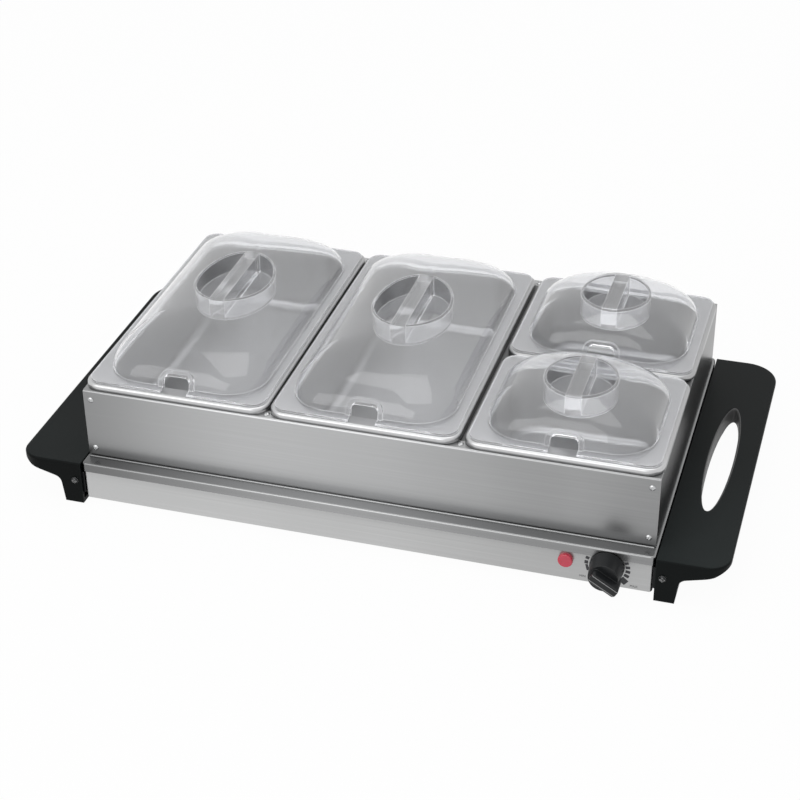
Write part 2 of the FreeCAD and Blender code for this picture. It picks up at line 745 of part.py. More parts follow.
def make_knob():
    skirt_height = f"(knob_reach - {KNOB_BACK} - grip_rise)"
    skirt = cone("knob_diameter", "knob_face_diameter", skirt_height, z=KNOB_BACK)
    body = new_body("Grip")
    bar = body.newObject("PartDesign::AdditiveBox", "Solid")
    bind(bar, Length="grip_ahead + grip_behind", Width="grip_width", Height="2 * grip_rise")
    ends = round_edges(body, bar, "grip_end_round", is_upright)
    doc.recompute()
    top = ends.Shape.BoundBox.ZMax
    round_edges(body, ends, "grip_edge_round",
                lambda edge: abs(edge.ZMin - top) < 1e-4 and edge.ZLength < 1e-4)
    put(body, "-grip_behind", "-grip_width / 2", "knob_reach - 2 * grip_rise")
    hollow = cylinder("knob_hollow", "knob_hollow_depth")
    bore = cylinder("shaft_diameter + thread_fit", "knob_reach - knob_cap")
    turned = cut(fuse(skirt, common(body, cylinder("2 * grip_ahead", "knob_reach"))), hollow, bore)
    pointing = Rotation(Vector(0, 1, 0), sizes["pointer_angle"]).multiply(TO_FRONT)
    node("knob", put(turned, CONTROL_X, f"-{SKIRT_FACE}", "control_height", pointing))


def make_pilot_light():
    face = new_body("Lens")
    disc = face.newObject("PartDesign::AdditiveCylinder", "Solid")
    bind(disc, Radius="lamp_diameter / 2", Height="lamp_reach")
    doc.recompute()
    round_edges(face, disc, "lamp_round", lambda edge: edge.ZMin > 1 and edge.ZLength < 1e-4)
    put(face, LAMP_X, f"-{SKIRT_FACE}", "control_height", TO_FRONT)
    stem_depth = "(tray_gauge + 2 * lamp_reach)"
    stem = cylinder("lamp_stem", stem_depth, LAMP_X, f"-{SKIRT_FACE}", "control_height", TO_REAR)
    node("pilot_light_lens", fuse(face, stem))
    holder = cylinder("lamp_holder", "lamp_depth", LAMP_X, f"-{SKIRT_BACK}", "control_height", TO_REAR)
    socket = cylinder("lamp_stem + thread_fit", stem_depth, LAMP_X, f"-{SKIRT_FACE}", "control_height",
                      TO_REAR)
    node("pilot_light_holder", cut(holder, socket))


def make_gland():
    back = SKIRT_FACE
    flange = cylinder("gland_flange", "gland_flange_thickness", GLAND_X, back, "gland_height", TO_REAR)
    nose = cone("gland_nose", "gland_stem", "gland_reach", GLAND_X, back, "gland_height", TO_REAR)
    stem = cylinder("gland_stem", "tray_gauge + gland_depth", GLAND_X, back, "gland_height", TO_FRONT)
    bore = cylinder("gland_bore", "4 * gland_reach", GLAND_X, f"{back} - 2 * gland_reach", "gland_height",
                    TO_REAR)
    node("cable_gland", cut(fuse(flange, nose, stem), bore))
    node("gland_nut", cut(
        hexagon("gland_nut_across", "gland_nut_thickness", GLAND_X, SKIRT_BACK, "gland_height", TO_FRONT),
        cylinder("gland_stem + thread_fit", "3 * gland_nut_thickness", GLAND_X,
                 f"{SKIRT_BACK} + gland_nut_thickness", "gland_height", TO_FRONT)))


# Wiring

def tube(points, bend, diameter):
    """A wire of straight runs joined by tangent arcs, its ends square on the first and last points."""
    edges = []
    start = points[0]
    for before, corner, after in zip(points, points[1:], points[2:]):
        into = (corner - before).normalize()
        out = (after - corner).normalize()
        turn = into.getAngle(out)
        back = bend * math.tan(turn / 2)
        first, last = corner - into * back, corner + out * back
        inward = (out - into).normalize()
        middle = corner + inward * (bend / math.cos(turn / 2) - bend)
        edges += [Part.LineSegment(start, first).toShape(), Part.Arc(first, middle, last).toShape()]
        start = last
    edges.append(Part.LineSegment(start, points[-1]).toShape())
    path = Part.Wire(edges)
    ring = Part.Wire(Part.Circle(points[0], points[1] - points[0], diameter / 2).toShape())
    return path.makePipeShell([ring], True, True)


def wire_node(label, *routes):
    item = doc.addObject("Part::Feature", label)
    bend, diameter = sizes["wire_bend"], sizes["wire_diameter"]
    tubes = [tube([Vector(*point) for point in route], bend, diameter) for route in routes]
    item.Shape = tubes[0] if len(tubes) == 1 else Part.makeCompound(tubes)
    item.Placement = Placement()
    item.Label = label
    nodes.append(item)


def found(label):
    """The exact limits of a sub-part that is already made."""
    return next(item for item in nodes if item.Label == label).Shape.optimalBoundingBox()


def make_terminal_block_and_fuse():
    x = f"({POST_X} + post_diameter / 2 + post_to_terminal + terminal_length / 2)"
    y = f"({TRAY_WIDTH} / 2 - terminal_back)"
    node("terminal_block", box("terminal_length", "terminal_width", "terminal_height", x, y, FLOOR))
    fuse_x = "(element_span / 2 + element_tail + fuse_past_element)"
    fuse_y = "(1.5 * element_pitch + fuse_length)"
    node("thermal_fuse", cylinder("fuse_diameter", "fuse_length", fuse_x, f"{fuse_y} - fuse_length / 2",
                                  ELEMENT_HEIGHT, TO_REAR))
    low = f"({ELEMENT_HEIGHT} - fuse_diameter / 2 - clamp_under)"
    node("fuse_clip", cut(
        box("clamp_length", "clip_length", f"{TRAY_UNDERSIDE} - {low}", fuse_x, fuse_y, low),
        cylinder("fuse_diameter + joint_fit", "fuse_length", fuse_x, f"{fuse_y} - fuse_length / 2",
                 ELEMENT_HEIGHT, TO_REAR)))
    node("earth_screw", screw(EARTH_X, EARTH_Y, FLOOR, UPRIGHT, small=True))


def make_wires():
    doc.recompute()
    terminals, thermostat = found("terminal_block"), found("thermostat_body")
    fuse_box, lamp, earth = found("thermal_fuse"), found("pilot_light_holder"), found("earth_screw")
    rod = found("heating_element")
    rod_end = sizes["element_span"] / 2 + sizes["element_tail"]
    rod_run = 1.5 * sizes["element_pitch"]
    rod_y, rod_z = rod.Center.y, rod.Center.z
    bend, radius = sizes["wire_bend"], sizes["wire_diameter"] / 2
    inset = 2 * sizes["wire_diameter"]

    start_x, low = terminals.XMax - inset, terminals.Center.z
    turn_y = terminals.YMin - sizes["live_wire_turn"]
    live_x = thermostat.XMax - 2 * inset
    wire_node("live_wire", [
        (start_x, terminals.YMin, low),
        (start_x, turn_y, low),
        (live_x, turn_y, low),
        (live_x, thermostat.YMax, low),
    ])
    out_x, middle_y, fuse_x = terminals.XMin + inset, terminals.Center.y, fuse_box.Center.x
    wire_node("neutral_wires", [
        (out_x, middle_y, terminals.ZMax),
        (out_x, middle_y, rod_z),
        (fuse_x, middle_y, rod_z),
        (fuse_x, fuse_box.YMax, rod_z),
    ], [
        (fuse_x, fuse_box.YMin, rod_z),
        (fuse_x, rod_y + rod_run, rod_z),
        (rod_end, rod_y + rod_run, rod_z),
    ])
    wire_x = thermostat.XMin + sizes["element_wire_in"]
    wire_node("element_wire", [
        (wire_x, thermostat.YMax, rod_z),
        (wire_x, rod_y - rod_run, rod_z),
        (rod_end, rod_y - rod_run, rod_z),
    ])
    lamp_turn = lamp.YMax + bend + radius / 2
    apart = sizes["wire_diameter"]
    wire_node("lamp_wires", *[[
        (lamp.Center.x + offset, lamp.YMax, lamp.Center.z + offset),
        (lamp.Center.x + offset, lamp_turn, lamp.Center.z + offset),
        (thermostat.XMin, lamp_turn, lamp.Center.z + offset),
    ] for offset in (-apart, apart)])
    earth_z = terminals.ZMin + radius + sizes["joint_fit"]
    earth_y = earth.YMax + sizes["earth_wire_turn"]
    wire_node("earth_wire", [
        (terminals.XMax, earth_y, earth_z),
        (earth.Center.x, earth_y, earth_z),
        (earth.Center.x, earth.YMax, earth_z),
    ])


# Frame

def make_frame():
    length, width = FRAME_LENGTH, FRAME_WIDTH
    foot = "(tray_height + seat_gap)"
    height = "frame_height - seat_gap"
    screw_x = f"({length} / 2 - frame_screw_inset)"
    screw_levels = ["(tray_height + frame_screw_low)", f"({FRAME_TOP} - frame_screw_high)"]
    seam_y = f"({width} / 2 - divider_screw_inset)"
    seams = [DIVIDER_LEFT, DIVIDER_RIGHT]

    strip = put(flanged_strip(length, "flange_width", height), 0, f"-{width} / 2", foot)
    wide, through = "small_screw_diameter + pass_fit", "4 * frame_gauge"
    below = f"{FRAME_TOP} - 2 * frame_gauge"
    holes = [hole for level in screw_levels for hole in both_ends(
        cylinder(wide, through, screw_x, f"-{width} / 2 + 2 * frame_gauge", level, TO_FRONT))]
    holes += [cylinder(wide, through, x, f"-{seam_y}", below) for x in seams]
    front = cut(strip, *holes)

    side = put(flanged_strip(f"{width} - 2 * (frame_gauge + joint_fit)", "flange_width", height),
               f"{length} / 2", 0, foot, Rotation(Vector(0, 0, 1), 90))
    corner = box("4 * flange_width", "2 * flange_width", "2 * frame_gauge", f"{length} / 2",
                 f"{width} / 2 - joint_fit", f"{FRAME_TOP} - frame_gauge - joint_fit")
    notched = cut(side, *front_and_rear(corner))
    right = cut(notched, cylinder(wide, through, f"{length} / 2 - divider_screw_inset", 0, below))
    node("front_panel", front)
    twin("back_panel", front, Vector(0, 1, 0))
    node("right_panel", right)
    node("left_panel", mirror(notched, Vector(1, 0, 0)))

    body = new_body("Angle")
    inner_x, inner_y = f"({length} / 2 - frame_gauge)", f"({width} / 2 - frame_gauge)"
    outline = polygon_sketch(body, "XY_Plane", [
        (inner_x, inner_y),
        (f"{inner_x} - bracket_leg", inner_y),
        (f"{inner_x} - bracket_leg", f"{inner_y} - bracket_wall"),
        (f"{inner_x} - bracket_wall", f"{inner_y} - bracket_wall"),
        (f"{inner_x} - bracket_wall", f"{inner_y} - bracket_leg"),
        (inner_x, f"{inner_y} - bracket_leg"),
    ])
    pad = body.newObject("PartDesign::Pad", "Pad")
    pad.Profile = outline
    bind(pad, Length="frame_height - 2 * bracket_clear")
    put(body, z="tray_height + bracket_clear")
    taps = [cylinder("small_screw_diameter + thread_fit", through, screw_x, f"{inner_y} + frame_gauge", level,
                     TO_FRONT) for level in screw_levels]
    node("corner_brackets", group(*four_corners(cut(body, *taps))))
    screws = [screw(screw_x, f"{width} / 2", level, TO_REAR, small=True) for level in screw_levels]
    node("frame_screws", group(*[copy for item in screws for copy in four_corners(item)]))


def channel(length, x, y, tabs, turn=UPRIGHT):
    """A divider: a sheet channel, open below, with tabs at the named ends that lie under the frame's flange."""
    gauge = "frame_gauge"
    top = box(length, "divider_width", "divider_height")
    inside = box(f"{length} + 2 * joint_fit", f"divider_width - 2 * {gauge}", f"divider_height - {gauge}")
    under = [box("divider_tab + joint_fit + bend_radius", "divider_tab_width", gauge,
                 f"{end} * (({length}) / 2 + (divider_tab + joint_fit - bend_radius) / 2)", 0,
                 f"divider_height - 2 * {gauge}") for end in tabs]
    screw_out = f"(({length}) / 2 + joint_fit + flange_width - divider_screw_inset)"
    taps = [cylinder("small_screw_diameter + thread_fit", "divider_height", f"{end} * {screw_out}")
            for end in tabs]
    return put(cut(fuse(cut(top, inside), *under), *taps), x, y, f"{FRAME_TOP} - divider_height", turn)


def make_dividers():
    along = Rotation(Vector(0, 0, 1), 90)
    length = f"({FRAME_WIDTH} - 2 * (flange_width + joint_fit))"
    node("divider_left", channel(length, DIVIDER_LEFT, 0, (-1, 1), along))
    node("divider_right", channel(length, DIVIDER_RIGHT, 0, (-1, 1), along))
    near, far = f"({DIVIDER_RIGHT} + divider_width / 2)", f"({FRAME_LENGTH} / 2 - flange_width - joint_fit)"
    node("divider_cross", channel(f"({far} - {near})", f"({far} + {near}) / 2", 0, (1,)))
    y = f"({FRAME_WIDTH} / 2 - divider_screw_inset)"
    screws = [item for x in (DIVIDER_LEFT, DIVIDER_RIGHT)
              for item in front_and_rear(screw(x, y, FRAME_TOP, UPRIGHT, small=True))]
    screws.append(screw(f"{FRAME_LENGTH} / 2 - divider_screw_inset", 0, FRAME_TOP, UPRIGHT, small=True))
    node("divider_screws", group(*screws))


# Pans and lids

def make_pan(label, width, depth, x, y):
    """A drawn steel pan: a raised rim with a rolled edge, and a well with sloping walls and round corners."""
    gauge = "pan_gauge"
    rim_foot = f"({FRAME_TOP} + seat_gap)"
    rim = block(width, depth, f"{RIM_TOP} - {rim_foot}", "rim_corner", "rim_round", x=x, y=y, z=rim_foot)
    under = block(f"{width} - 2 * {gauge}", f"{depth} - 2 * {gauge}", f"{RIM_TOP} - {rim_foot} - {gauge}",
                  f"rim_corner - {gauge}", f"rim_round - {gauge}", x=x, y=y, z=rim_foot)

    def well(wall, deep):
        body = new_body("Well")
        rim = f"(rim_width - {wall})"
        mouth = rounded_sketch(body, f"{width} - 2 * {rim}", f"{depth} - 2 * {rim}", f"mouth_corner + {wall}",
                               RIM_TOP)
        pad = body.newObject("PartDesign::Pad", "Pad")
        pad.Profile = mouth
        pad.Reversed = True
        bind(pad, Length=deep, TaperAngle="-atan(well_draft / pan_height)")
        doc.recompute()
        floor = pad.Shape.BoundBox.ZMin
        round_edges(body, pad, f"well_round + {wall}", lambda edge: edge.ZMax < floor + 1e-4)
        return put(body, x, y)

    solid = cut(fuse(cut(rim, under), well(gauge, "pan_height")), well("0", f"pan_height - {gauge}"))
    node(label, solid)


def dome(kind, width, depth, grow, x, y):
    """A rounded dome: in every upright section its wall is a quarter of an ellipse, from foot to crown."""
    sections = []
    for angle in range(0, 91, 15):
        inward, upward = 1 - math.cos(math.radians(angle)), math.sin(math.radians(angle))
        length = f"({width} - 2 * (lid_foot + {kind}_round * {inward}) + 2 * ({grow}))"
        across = f"({depth} - 2 * (lid_foot + {kind}_round_deep * {inward}) + 2 * ({grow}))"
        corner = (f"min(dome_corner + dome_spread * {inward} + {grow};"
                  f" crown_share * {length}; crown_share * {across})")
        sections.append((length, across, corner, f"{LID_FOOT_LEVEL} + ({kind}_rise + {grow}) * {upward}"))
    return loft(sections, False, x, y)[0]


def arch(width, height, corner, x, y):
    """A doorway-shaped prism that runs in from the front edge of a lid, for its spoon notch."""
    body = new_body("Arch")
    solid = body.newObject("PartDesign::AdditiveBox", "Solid")
    bind(solid, Length=width, Width="2 * notch_reach", Height=f"2 * ({height})")
    doc.recompute()
    top = solid.Shape.BoundBox.ZMax
    round_edges(body, solid, corner, lambda edge: edge.ZMin > top - 1e-4 and edge.YLength > 1)
    return put(body, f"{x} - ({width}) / 2", f"{y} - notch_reach", f"{LID_FOOT_LEVEL} - ({height})")


def make_lid(label, kind, width, depth, x, y):
    """A clear lid: flange, dome, an oval hand well with a grip bar across it, and a spoon notch in front."""
    flange = block(f"{width} - 2 * lid_inset", f"{depth} - 2 * lid_inset", "lid_gauge", "lid_corner",
                   x=x, y=y, z=LID_FOOT_LEVEL)
    outside = dome(kind, width, depth, "0", x, y)
    inside = dome(kind, width, depth, "-lid_gauge", x, y)
    proud = dome(kind, width, depth, "bead_height", x, y)
    front = f"({y} - ({depth}) / 2)"
    opening = arch("notch_width", "notch_rise", "notch_corner", x, front)
    surround = arch("notch_width + 2 * notch_border", "notch_rise + notch_border",
                    "notch_corner + notch_border", x, front)
    skin = cut(fuse(flange, outside, common(proud, surround)), inside)
    across, deep = f"{kind}_well", f"({kind}_well + {kind}_well_stretch)"
    middle = f"{y} + {WELL_BACK[kind]}"
    floor = f"{LID_FOOT_LEVEL} + {kind}_rise - well_sink"
    under = f"{floor} - lid_gauge"
    plug = common(oval(deep, across, "2 * well_sink", x, middle, under), outside)
    bar = box("bar_width", f"2 * {deep}", "4 * well_sink", x, middle, under)
    hollow = oval(f"{deep} - 2 * lid_gauge", f"{across} - 2 * lid_gauge", "3 * well_sink", x, middle, floor)
    scoop = cut(hollow, bar)
    node(label, cut(fuse(skin, plug), scoop, opening))


WELL_BACK = {"large": "large_well_back", "small": "0"}

PANS = {
    "left": ("large", "pan_width", "pan_depth", LEFT_X, "0"),
    "middle": ("large", "pan_width", "pan_depth", MIDDLE_X, "0"),
    "rear": ("small", "pan_width", SMALL_PAN_DEPTH, RIGHT_X, SMALL_PAN_Y),
    "front": ("small", "pan_width", SMALL_PAN_DEPTH, RIGHT_X, f"-{SMALL_PAN_Y}"),
}

make_tray_top()
make_base_pan()
make_handles()
make_end_brackets()
make_posts_and_shield()
make_heating_element()
make_thermostat()
make_knob()
make_pilot_light()
make_gland()
make_terminal_block_and_fuse()
make_wires()
make_frame()
make_dividers()
for spot, (kind, width, depth, x, y) in PANS.items():
    make_pan(f"pan_{spot}", width, depth, x, y)
    make_lid(f"lid_{spot}", kind, width, depth, x, y)

doc.recompute()
failed = [item.Label for item in doc.Objects if "Invalid" in item.State or "Error" in item.State]
failed += [item.Label for item in nodes
           if item.Shape.isNull() or not item.Shape.isValid() or not item.Shape.Solids]
if failed:
    raise SystemExit(f"these did not build: {failed}")

os.makedirs("parts", exist_ok=True)
for item in nodes:
    item.Shape.exportStep(f"parts/{item.Label}.step")
    print(item.Label, len(item.Shape.Solids), round(item.Shape.Volume))
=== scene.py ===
import math

import bmesh
import bpy
from mathutils import Matrix, Quaternion, Vector


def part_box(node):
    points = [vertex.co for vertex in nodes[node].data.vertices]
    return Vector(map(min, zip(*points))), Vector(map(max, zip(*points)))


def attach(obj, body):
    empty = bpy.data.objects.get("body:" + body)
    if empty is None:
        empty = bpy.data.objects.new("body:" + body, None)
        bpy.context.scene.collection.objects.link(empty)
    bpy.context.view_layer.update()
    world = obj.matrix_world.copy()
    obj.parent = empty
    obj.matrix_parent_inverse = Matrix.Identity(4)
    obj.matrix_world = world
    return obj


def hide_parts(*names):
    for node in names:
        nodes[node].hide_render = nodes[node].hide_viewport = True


# Buffet server with four pans and clear lids. Metres, +Z up, the front towards -Y.

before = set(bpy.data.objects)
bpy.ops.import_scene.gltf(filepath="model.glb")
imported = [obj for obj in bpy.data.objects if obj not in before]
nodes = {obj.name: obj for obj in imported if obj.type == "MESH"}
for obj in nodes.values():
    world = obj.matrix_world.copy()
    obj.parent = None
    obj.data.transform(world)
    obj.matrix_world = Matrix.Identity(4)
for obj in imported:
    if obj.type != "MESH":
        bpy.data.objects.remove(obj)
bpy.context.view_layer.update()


# Small helpers

white = (1, 1, 1, 1)
sharpAngle = math.radians(35)  # edges bent by more than this stay sharp
softSamples = 6  # rays that round an edge off
mixSocket = {"share": 0, "first": 6, "second": 7, "result": 2}  # of a Mix node that blends colours
bevelWay = {"offset_type": "OFFSET", "profile": 0.5, "material": -1}


def grey(level):
    return (level, level, level, 1)


def tinted(colour, gain, lift=0):
    return [min(1, channel * gain + lift) for channel in colour] + [1]


def feed(tree, socket, value):
    # a value is another node's socket, or plain numbers
    if isinstance(value, bpy.types.NodeSocket):
        tree.links.new(value, socket)
    else:
        socket.default_value = value


def addNode(tree, kind, inputs=None, **settings):
    made = tree.nodes.new(kind)
    for name, value in settings.items():
        setattr(made, name, value)
    for name, value in (inputs or {}).items():
        feed(tree, made.inputs[name], value)
    return made


def addMath(tree, operation, *values, clamp=False):
    inputs = dict(enumerate(values))
    return addNode(tree, "ShaderNodeMath", inputs, operation=operation, use_clamp=clamp).outputs[0]


def blendColours(tree, share, first, second, way="MIX"):
    made = addNode(tree, "ShaderNodeMix", data_type="RGBA", blend_type=way)
    for name, value in (("share", share), ("first", first), ("second", second)):
        feed(tree, made.inputs[mixSocket[name]], value)
    return made.outputs[mixSocket["result"]]


def blendShaders(tree, share, first, second):
    mix = addNode(tree, "ShaderNodeMixShader", {0: share, 1: first.outputs[0], 2: second.outputs[0]})
    tree.links.new(mix.outputs[0], tree.nodes["Material Output"].inputs["Surface"])


def spread(tree, value, low, high):
    # stretches 0 to 1 out to low to high
    made = addNode(tree, "ShaderNodeMapRange", {"Value": value, "To Min": low, "To Max": high})
    return made.outputs[0]


def between(tree, value, first, last):
    # 0 at first and 1 at last
    made = addNode(tree, "ShaderNodeMapRange", {"Value": value, "From Min": first, "From Max": last})
    return made.outputs[0]


def objectPoint(tree):
    return addNode(tree, "ShaderNodeTexCoord").outputs["Object"]


def axesOf(tree, vector):
    return addNode(tree, "ShaderNodeSeparateXYZ", {"Vector": vector}).outputs


def roundedEdges(tree, radius):
    return addNode(tree, "ShaderNodeBevel", {"Radius": radius}, samples=softSamples).outputs[0]


def addRelief(tree, skin, height, strength, depth, edges=None):
    inputs = {"Height": height, "Strength": strength, "Distance": depth}
    if edges is not None:
        inputs["Normal"] = edges
    bump = addNode(tree, "ShaderNodeBump", inputs)
    tree.links.new(bump.outputs[0], skin.inputs["Normal"])


def addToScene(thing):
    bpy.context.scene.collection.objects.link(thing)


def newPiece(name, bm, body, material, replaces=()):
    mesh = bpy.data.meshes.new(name)
    bm.to_mesh(mesh)
    bm.free()
    for polygon in mesh.polygons:
        polygon.use_smooth = True
    mesh.set_sharp_from_angle(angle=sharpAngle)
    mesh.materials.append(material)
    piece = bpy.data.objects.new(name, mesh)
    addToScene(piece)
    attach(piece, body)
    if replaces:
        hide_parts(*replaces)
    return piece


def ringEdges(bm, length, width, corner, height, middle, steps):
    # a rounded rectangle as a closed loop of edges
    verts = bmesh.ops.create_grid(bm, x_segments=1, y_segments=1, size=0.5)["verts"]
    bmesh.ops.scale(bm, vec=(length, width, 1), verts=verts)
    bmesh.ops.translate(bm, vec=(middle[0], middle[1], height), verts=verts)
    made = bmesh.ops.bevel(bm, geom=verts, offset=corner, segments=steps, affect="VERTICES", **bevelWay)
    face = made["verts"][0].link_faces[0]
    edges = list(face.edges)
    bmesh.ops.delete(bm, geom=[face], context="FACES_ONLY")
    return edges


def loftRings(bm, sections, middle, steps):
    # skins a row of rounded rectangles: length, width, corner, height
    rings = [ringEdges(bm, *section, middle, steps) for section in sections]
    for lower, upper in zip(rings, rings[1:]):
        bmesh.ops.bridge_loops(bm, edges=lower + upper)
    return rings


def quarterTurn(steps):
    # at each step of a quarter circle, how far it has come in and how far it has left to rise, in radii
    angles = [math.radians(90 * step / steps) for step in range(steps + 1)]
    return [(1 - math.cos(angle), 1 - math.sin(angle)) for angle in angles]


# Shared effects

grainShape = {"detail": 3, "roughness": 0.6, "broadScale": 0.12, "broadDetail": 2}
patchShape = {"detail": 3, "distortion": 0.4, "speckScale": 90, "speckDetail": 2}
upwardShape = {"tilted": 0.80, "level": 0.98}  # height of the surface's direction


def newGroup(name, inputs, outputs):
    tree = bpy.data.node_groups.new(name, "ShaderNodeTree")
    for label, kind, value in inputs:
        tree.interface.new_socket(label, in_out="INPUT", socket_type=kind).default_value = value
    for label in outputs:
        tree.interface.new_socket(label, in_out="OUTPUT", socket_type="NodeSocketFloat")
    return tree, tree.nodes.new("NodeGroupInput").outputs, tree.nodes.new("NodeGroupOutput").inputs


def makeGrainGroup():
    # scratches drawn out along the axis whose number in Stretch is small
    shape = grainShape
    tree, given, result = newGroup(
        "grain", [("Stretch", "NodeSocketVector", (8, 3000, 3000))], ["Fine", "Broad"])
    fineAt = addNode(tree, "ShaderNodeVectorMath", {0: objectPoint(tree), 1: given["Stretch"]},
                     operation="MULTIPLY").outputs[0]
    fine = addNode(tree, "ShaderNodeTexNoise", {
        "Vector": fineAt, "Scale": 1, "Detail": shape["detail"], "Roughness": shape["roughness"]})
    broadAt = addNode(tree, "ShaderNodeVectorMath", {0: fineAt, "Scale": shape["broadScale"]},
                      operation="SCALE").outputs[0]
    broad = addNode(tree, "ShaderNodeTexNoise", {
        "Vector": broadAt, "Scale": 1, "Detail": shape["broadDetail"]})
    tree.links.new(fine.outputs["Fac"], result["Fine"])
    tree.links.new(broad.outputs["Fac"], result["Broad"])
    return tree


def makePatchGroup():
    # slow unevenness, as from handling and rolling, and fine specks
    shape = patchShape
    tree, given, result = newGroup("patches", [("Scale", "NodeSocketFloat", 20)], ["Soft", "Specks"])
    point = objectPoint(tree)
    soft = addNode(tree, "ShaderNodeTexNoise", {
        "Vector": point, "Scale": given["Scale"],
        "Detail": shape["detail"], "Distortion": shape["distortion"]})
    finer = addMath(tree, "MULTIPLY", given["Scale"], shape["speckScale"])
    specks = addNode(tree, "ShaderNodeTexNoise", {
        "Vector": point, "Scale": finer, "Detail": shape["speckDetail"]})
    tree.links.new(soft.outputs["Fac"], result["Soft"])
    tree.links.new(specks.outputs["Fac"], result["Specks"])
    return tree


def makeEdgeGroup():
    # finds outer edges, where a surface is rubbed and where painted highlights and glow go
    tree, given, result = newGroup(
        "edgeWearAndHighlight", [("Radius", "NodeSocketFloat", 0.001), ("Strength", "NodeSocketFloat", 4)], ["Edge"])
    rounded = roundedEdges(tree, given["Radius"])
    flat = addNode(tree, "ShaderNodeNewGeometry").outputs["Normal"]
    same = addNode(tree, "ShaderNodeVectorMath", {0: rounded, 1: flat}, operation="DOT_PRODUCT")
    apart = addMath(tree, "SUBTRACT", 1, same.outputs["Value"])
    tree.links.new(addMath(tree, "MULTIPLY", apart, given["Strength"], clamp=True), result["Edge"])
    return tree


def makeUpwardGroup():
    # finds surfaces that face up, for painted shade
    tree, _, result = newGroup("facingUp", [], ["Up"])
    normal = addNode(tree, "ShaderNodeNewGeometry").outputs["Normal"]
    up = between(tree, axesOf(tree, normal)["Z"], upwardShape["tilted"], upwardShape["level"])
    tree.links.new(up, result["Up"])
    return tree


grainGroup = makeGrainGroup()
patchGroup = makePatchGroup()
edgeGroup = makeEdgeGroup()
upwardGroup = makeUpwardGroup()


def useGroup(tree, group, **inputs):
    made = addNode(tree, "ShaderNodeGroup", node_tree=group)
    for name, value in inputs.items():
        made.inputs[name].default_value = value
    return made.outputs


def newMaterial(name):
    material = bpy.data.materials.new(name)
    material.use_nodes = True
    tree = material.node_tree
    return material, tree, tree.nodes["Principled BSDF"]


def paintedLightAlong(tree, colour, axis, stops):
    # painted light and shade along a sheet: lighter and darker reaches, as pairs of place in metres and
    # brightness
    first, last = stops[0][0], stops[-1][0]
    along = between(tree, axesOf(tree, objectPoint(tree))[axis], first, last)
    ramp = addNode(tree, "ShaderNodeValToRGB", {"Fac": along})
    ramp.color_ramp.interpolation = "B_SPLINE"
    for at, level in stops[1:-1]:
        ramp.color_ramp.elements.new((at - first) / (last - first)).color = grey(level)
    ramp.color_ramp.elements[0].color = grey(stops[0][1])
    ramp.color_ramp.elements[-1].color = grey(stops[-1][1])
    return blendColours(tree, 1, colour, ramp.outputs["Color"], "MULTIPLY")


# Steel sheet and screws

steelWearAndHighlight = {"strength": 5, "rubbedAndHighlit": 0.4, "bareAndHighlight": grey(0.7)}
steelStreaks = {"low": -0.6, "high": 2.2, "depth": 0.0002}

